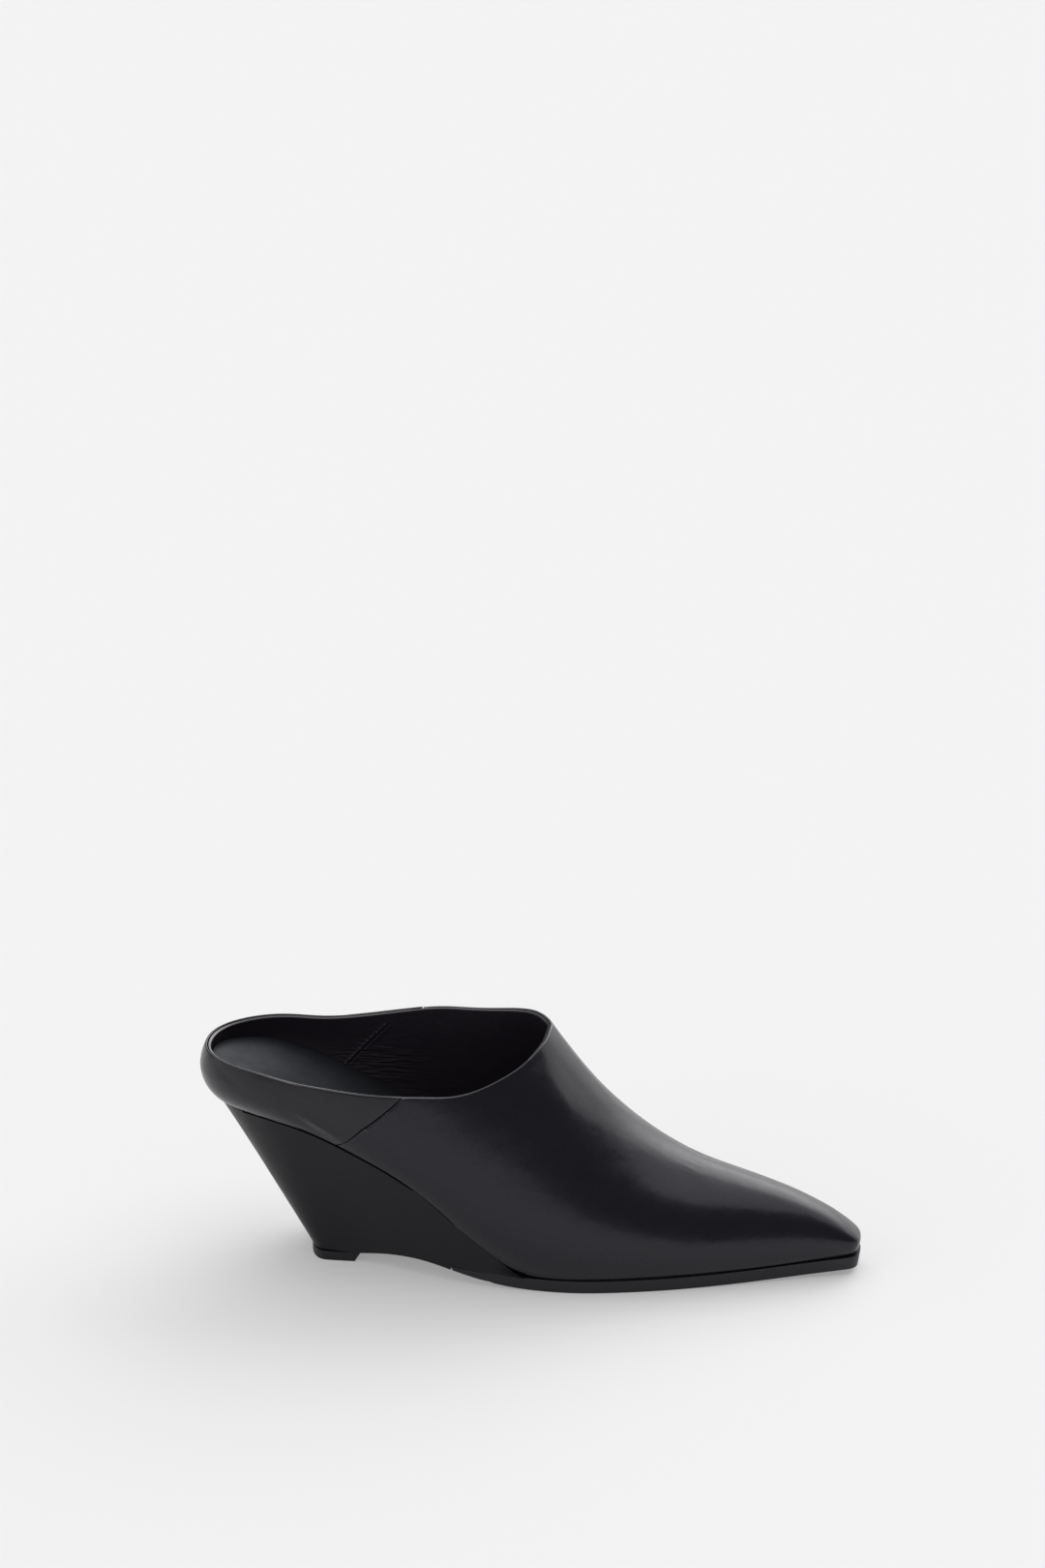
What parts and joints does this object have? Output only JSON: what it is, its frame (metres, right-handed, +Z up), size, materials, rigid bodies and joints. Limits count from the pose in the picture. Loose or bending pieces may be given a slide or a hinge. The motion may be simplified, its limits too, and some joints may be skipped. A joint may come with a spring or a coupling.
{
  "type": "wedge mule",
  "caption": "Backless leather wedge mule, right shoe, with a narrow squared-off point, a high plain vamp, a low rim round the heel and a straight raked wedge.",
  "frame": {"origin": "on the floor, at the middle of the shoe's length and width", "axes": "+X from heel to toe, +Y to the inner (medial) side, +Z up"},
  "size_m": [0.27, 0.0798, 0.0998],
  "materials": {
    "vamp_leather": "smooth semi-gloss black",
    "quarter_leather": "smooth semi-gloss black",
    "footbed_leather": "smooth satin black",
    "wedge_cover_leather": "smooth semi-gloss black",
    "outsole_rubber": "satin black",
    "lift_rubber": "satin black"
  },
  "bodies": {
    "root": {"upper": "vamp_leather", "heel_quarter": "quarter_leather", "insole": "footbed_leather", "wedge": "wedge_cover_leather", "outsole": "outsole_rubber", "top_lift": "lift_rubber"}
  },
  "joints": []
}
